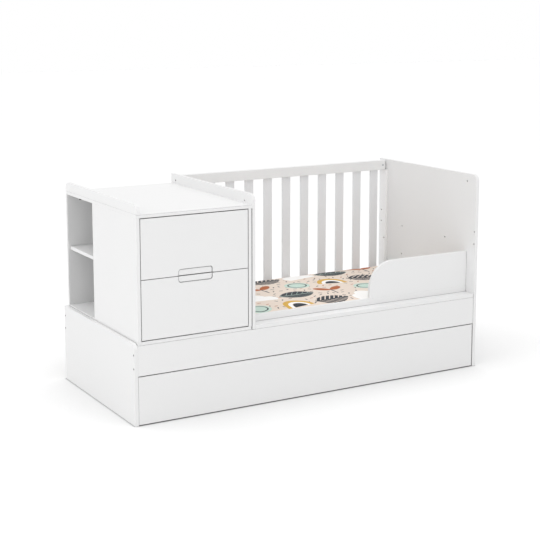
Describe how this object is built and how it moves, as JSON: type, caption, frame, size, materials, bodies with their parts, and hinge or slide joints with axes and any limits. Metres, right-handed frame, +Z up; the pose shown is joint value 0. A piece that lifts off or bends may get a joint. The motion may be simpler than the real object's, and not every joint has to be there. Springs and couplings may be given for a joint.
{
  "type": "convertible crib",
  "caption": "White convertible crib with a slatted back, a short guard, a chest of drawers with a side niche on one end and a wheeled trundle underneath.",
  "frame": {"origin": "on the floor in the middle of the footprint", "axes": "+X along the length towards the headboard, +Y from the front to the back, +Z up"},
  "size_m": [1.94, 0.86, 1.01],
  "materials": {
    "white_lacquer": "satin white lacquer on fibreboard",
    "white_melamine": "matt white melamine on chipboard",
    "bare_pine": "bare planed pine",
    "zinc_steel": "zinc plated",
    "black_steel": "black oxide",
    "caster_steel": "grey powder coat",
    "caster_tread": "black nylon",
    "printed_cotton": "woven cotton fitted sheet with a print"
  },
  "bodies": {
    "frame": {"left_end_panel": "white_lacquer", "headboard": "white_lacquer", "footboard": "white_lacquer", "front_rail": "white_lacquer", "back_board": "white_lacquer", "front_ledge": "white_lacquer", "bed_side_rail": "white_lacquer", "guard_panel": "white_lacquer", "railing_top_rail": "white_lacquer", "railing_bottom_rail": "white_lacquer", "railing_slats": "white_lacquer", "railing_head_stile": "white_lacquer", "railing_foot_stile": "white_lacquer", "dresser_floor": "white_lacquer", "dresser_top": "white_lacquer", "dresser_left_side": "white_lacquer", "dresser_right_side": "white_lacquer", "dresser_partition": "white_lacquer", "dresser_back": "white_lacquer", "dresser_lip": "white_lacquer", "niche_shelf": "white_lacquer", "front_cleat": "bare_pine", "back_cleat": "bare_pine", "base_slats": "bare_pine", "runner_outers": "zinc_steel", "board_nuts": "zinc_steel", "railing_nuts": "zinc_steel", "shelf_pins": "zinc_steel", "bolts": "black_steel", "niche_fitting": "caster_tread"},
    "mattress": {"mattress": "printed_cotton"},
    "upper_drawer": {"upper_drawer_front": "white_lacquer", "upper_drawer_bottom": "white_melamine", "upper_drawer_left_side": "white_melamine", "upper_drawer_right_side": "white_melamine", "upper_drawer_back": "white_melamine", "upper_runner_inners": "zinc_steel"},
    "upper_runner": {"upper_runner_middles": "zinc_steel"},
    "lower_drawer": {"lower_drawer_front": "white_lacquer", "lower_drawer_bottom": "white_melamine", "lower_drawer_left_side": "white_melamine", "lower_drawer_right_side": "white_melamine", "lower_drawer_back": "white_melamine", "lower_runner_inners": "zinc_steel"},
    "lower_runner": {"lower_runner_middles": "zinc_steel"},
    "trundle": {"trundle_front": "white_lacquer", "trundle_bottom": "white_melamine", "trundle_left_side": "white_melamine", "trundle_right_side": "white_melamine", "trundle_back": "white_melamine", "trundle_front_forks": "caster_steel", "trundle_back_forks": "caster_steel", "trundle_axles": "zinc_steel"},
    "trundle_wheel_front_0": {"trundle_wheel_front_0": "caster_tread"},
    "trundle_wheel_front_1": {"trundle_wheel_front_1": "caster_tread"},
    "trundle_wheel_front_2": {"trundle_wheel_front_2": "caster_tread"},
    "trundle_wheel_back_0": {"trundle_wheel_back_0": "caster_tread"},
    "trundle_wheel_back_1": {"trundle_wheel_back_1": "caster_tread"},
    "trundle_wheel_back_2": {"trundle_wheel_back_2": "caster_tread"}
  },
  "joints": [
    {"name": "upper_drawer_slide", "type": "slide", "parent": "frame", "child": "upper_drawer", "axis": [0, -1, 0], "range_m": [0, 0.4]},
    {"name": "upper_runner_slide", "type": "slide", "parent": "frame", "child": "upper_runner", "axis": [0, -1, 0], "range_m": [0, 0.2]},
    {"name": "lower_drawer_slide", "type": "slide", "parent": "frame", "child": "lower_drawer", "axis": [0, -1, 0], "range_m": [0, 0.4]},
    {"name": "lower_runner_slide", "type": "slide", "parent": "frame", "child": "lower_runner", "axis": [0, -1, 0], "range_m": [0, 0.2]},
    {"name": "trundle_roll", "type": "slide", "parent": "frame", "child": "trundle", "axis": [0, -1, 0], "range_m": [0, 0.7]},
    {"name": "trundle_wheel_front_0_spin", "type": "hinge", "parent": "trundle", "child": "trundle_wheel_front_0", "pos_m": [-0.798, -0.322, 0.024], "axis": [1, 0, 0], "range_deg": [-10, 1682]},
    {"name": "trundle_wheel_front_1_spin", "type": "hinge", "parent": "trundle", "child": "trundle_wheel_front_1", "pos_m": [-0.0025, -0.322, 0.024], "axis": [1, 0, 0], "range_deg": [-10, 1682]},
    {"name": "trundle_wheel_front_2_spin", "type": "hinge", "parent": "trundle", "child": "trundle_wheel_front_2", "pos_m": [0.793, -0.322, 0.024], "axis": [1, 0, 0], "range_deg": [-10, 1682]},
    {"name": "trundle_wheel_back_0_spin", "type": "hinge", "parent": "trundle", "child": "trundle_wheel_back_0", "pos_m": [-0.798, 0.258, 0.024], "axis": [1, 0, 0], "range_deg": [-10, 1682]},
    {"name": "trundle_wheel_back_1_spin", "type": "hinge", "parent": "trundle", "child": "trundle_wheel_back_1", "pos_m": [-0.0025, 0.258, 0.024], "axis": [1, 0, 0], "range_deg": [-10, 1682]},
    {"name": "trundle_wheel_back_2_spin", "type": "hinge", "parent": "trundle", "child": "trundle_wheel_back_2", "pos_m": [0.793, 0.258, 0.024], "axis": [1, 0, 0], "range_deg": [-10, 1682]},
    {"name": "mattress_lift", "type": "slide", "parent": "frame", "child": "mattress", "axis": [0, 0, 1], "range_m": [0, 0.75]}
  ],
  "couplings": [
    {"joint": "upper_runner_slide", "follows": "upper_drawer_slide", "ratio": 0.5},
    {"joint": "lower_runner_slide", "follows": "lower_drawer_slide", "ratio": 0.5},
    {"joint": "trundle_wheel_front_0_spin", "follows": "trundle_roll", "rad_per_m": 41.667},
    {"joint": "trundle_wheel_front_1_spin", "follows": "trundle_roll", "rad_per_m": 41.667},
    {"joint": "trundle_wheel_front_2_spin", "follows": "trundle_roll", "rad_per_m": 41.667},
    {"joint": "trundle_wheel_back_0_spin", "follows": "trundle_roll", "rad_per_m": 41.667},
    {"joint": "trundle_wheel_back_1_spin", "follows": "trundle_roll", "rad_per_m": 41.667},
    {"joint": "trundle_wheel_back_2_spin", "follows": "trundle_roll", "rad_per_m": 41.667}
  ]
}
